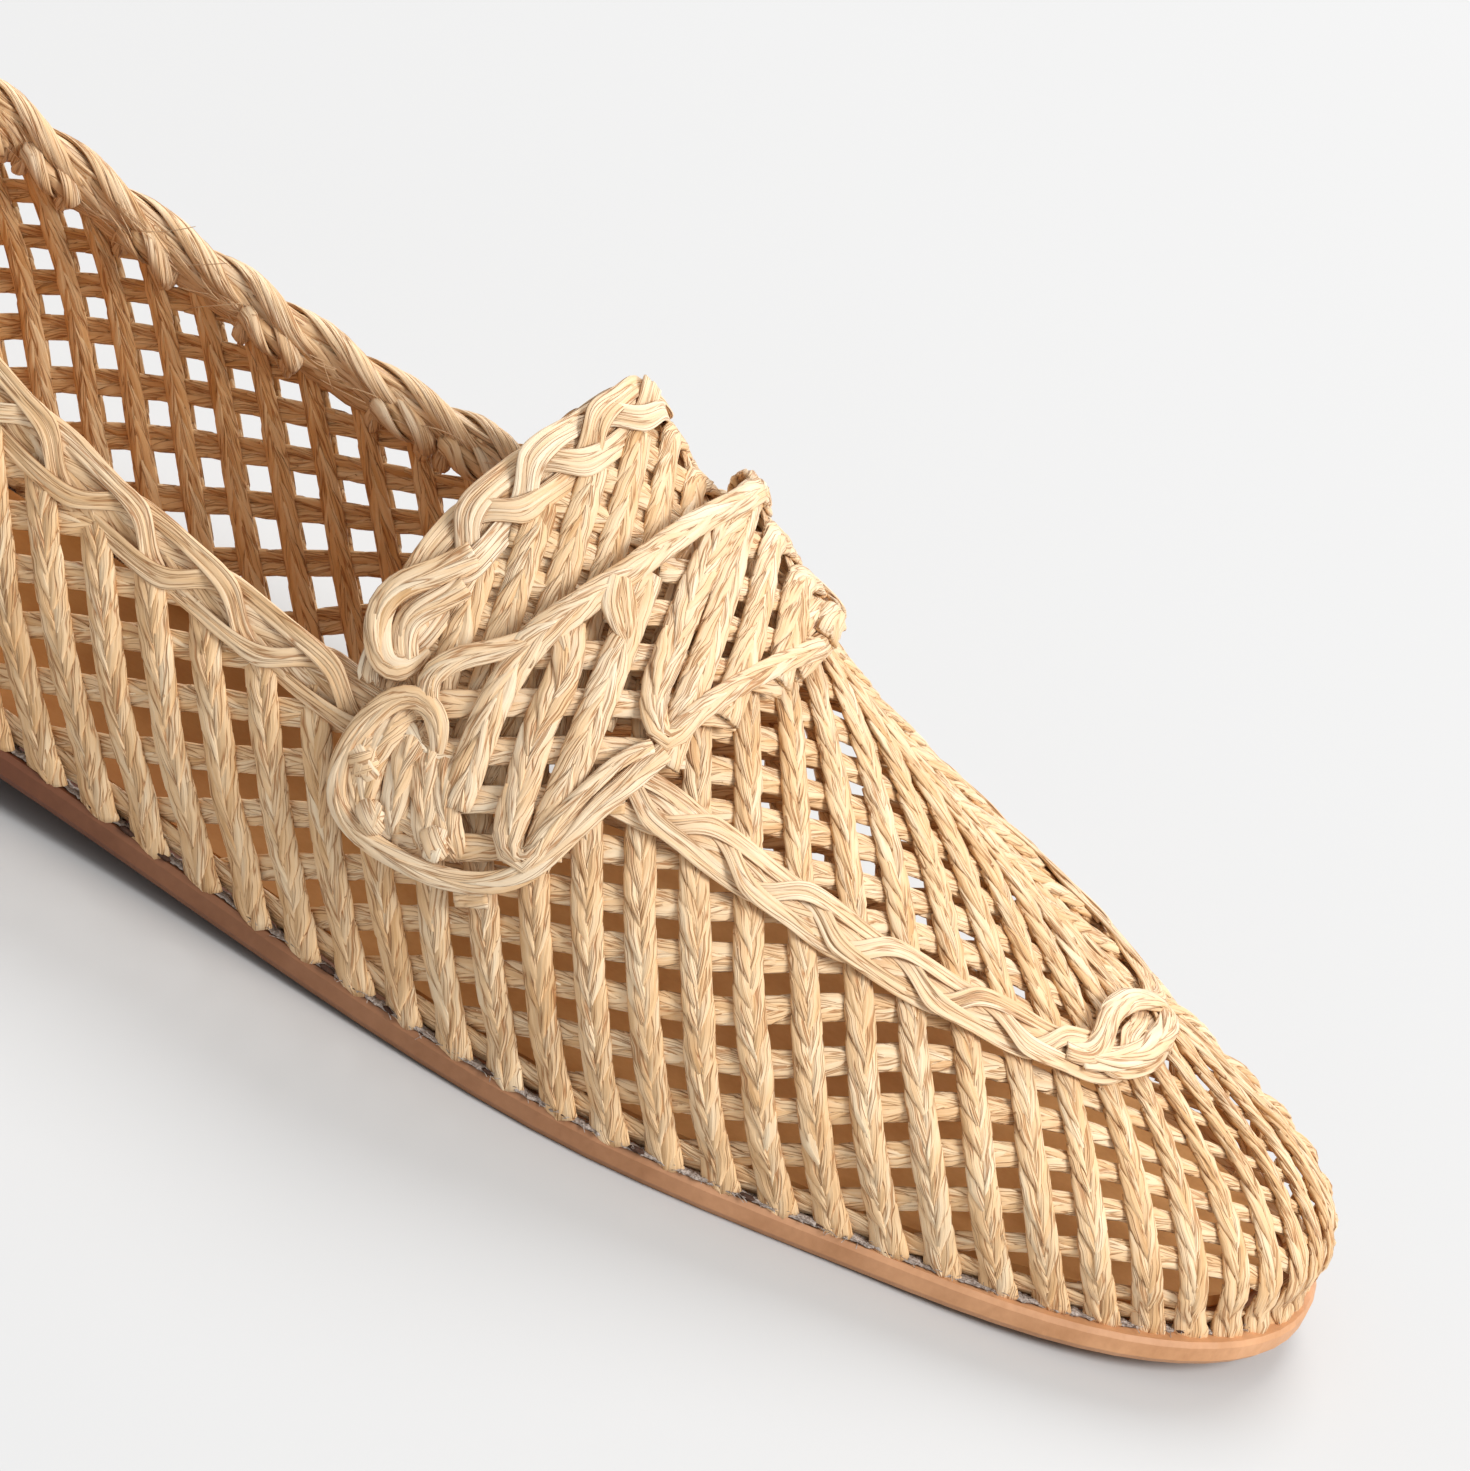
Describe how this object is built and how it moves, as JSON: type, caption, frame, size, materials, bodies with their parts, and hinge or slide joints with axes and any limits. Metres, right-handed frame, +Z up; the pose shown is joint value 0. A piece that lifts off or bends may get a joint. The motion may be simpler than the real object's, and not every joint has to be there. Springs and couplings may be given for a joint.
{
  "type": "woven moccasin",
  "caption": "Open-weave straw moccasin for a right foot, with a braided collar, tongue edge and apron line, a saddle strap and a thin leather sole.",
  "frame": {"origin": "on the floor, under the middle of the shoe's box", "axes": "+X from heel to toe, +Y to the inner side of the foot, +Z up"},
  "size_m": [0.252, 0.086, 0.0772],
  "materials": {
    "sole_leather": "smooth tan leather, burnished edge",
    "insole_leather": "smooth tan leather lining",
    "straw_weave": "natural straw fibre, open weave of flat plaits, dry satin",
    "straw_braid": "natural straw fibre, flat braid, dry satin",
    "straw_strap": "natural straw fibre, close plaits, dry satin"
  },
  "bodies": {
    "root": {"outsole": "sole_leather", "heel": "sole_leather", "insole": "insole_leather", "upper": "straw_weave", "tongue": "straw_weave", "collar_braid": "straw_braid", "tongue_braid": "straw_braid", "apron_braid": "straw_braid", "strap": "straw_strap"}
  },
  "joints": []
}
